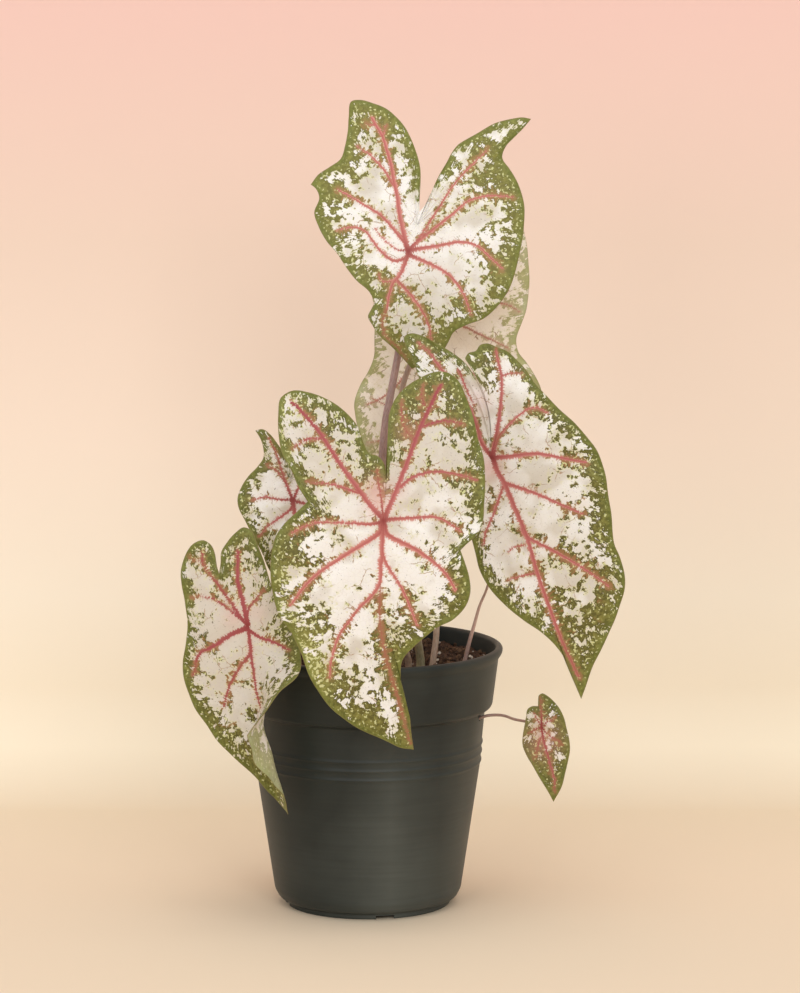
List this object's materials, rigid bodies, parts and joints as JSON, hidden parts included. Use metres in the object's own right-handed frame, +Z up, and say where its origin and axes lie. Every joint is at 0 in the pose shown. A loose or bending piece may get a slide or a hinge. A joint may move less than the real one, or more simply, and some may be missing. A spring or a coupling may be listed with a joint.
{
  "type": "potted caladium",
  "caption": "Upright foliage plant with heart-shaped mottled leaves on thin stalks, growing in a round tapered nursery pot filled with soil.",
  "frame": {"origin": "middle of the round pad under the pot's floor, at the height that the pot stands on", "axes": "+Z up along the pot's axis, -Y to the front, where most of the leaf faces point, +X to the right seen from the front"},
  "size_m": [0.2562, 0.181, 0.4747],
  "materials": {
    "pot_plastic": "moulded, half matt",
    "soil": "loose and crumbly",
    "tuber": "rough corky skin",
    "petiole": "smooth, slightly waxy",
    "blade": "soft satin leaf skin"
  },
  "bodies": {
    "root": {"pot": "pot_plastic", "soil": "soil", "tuber": "tuber", "top_leaf_blade": "blade", "front_leaf_blade": "blade", "right_leaf_blade": "blade", "left_leaf_blade": "blade", "curled_leaf_blade": "blade", "back_leaf_blade": "blade", "small_leaf_blade": "blade", "top_leaf_petiole": "petiole", "front_leaf_petiole": "petiole", "right_leaf_petiole": "petiole", "left_leaf_petiole": "petiole", "curled_leaf_petiole": "petiole", "back_leaf_petiole": "petiole", "small_leaf_petiole": "petiole"}
  },
  "joints": []
}
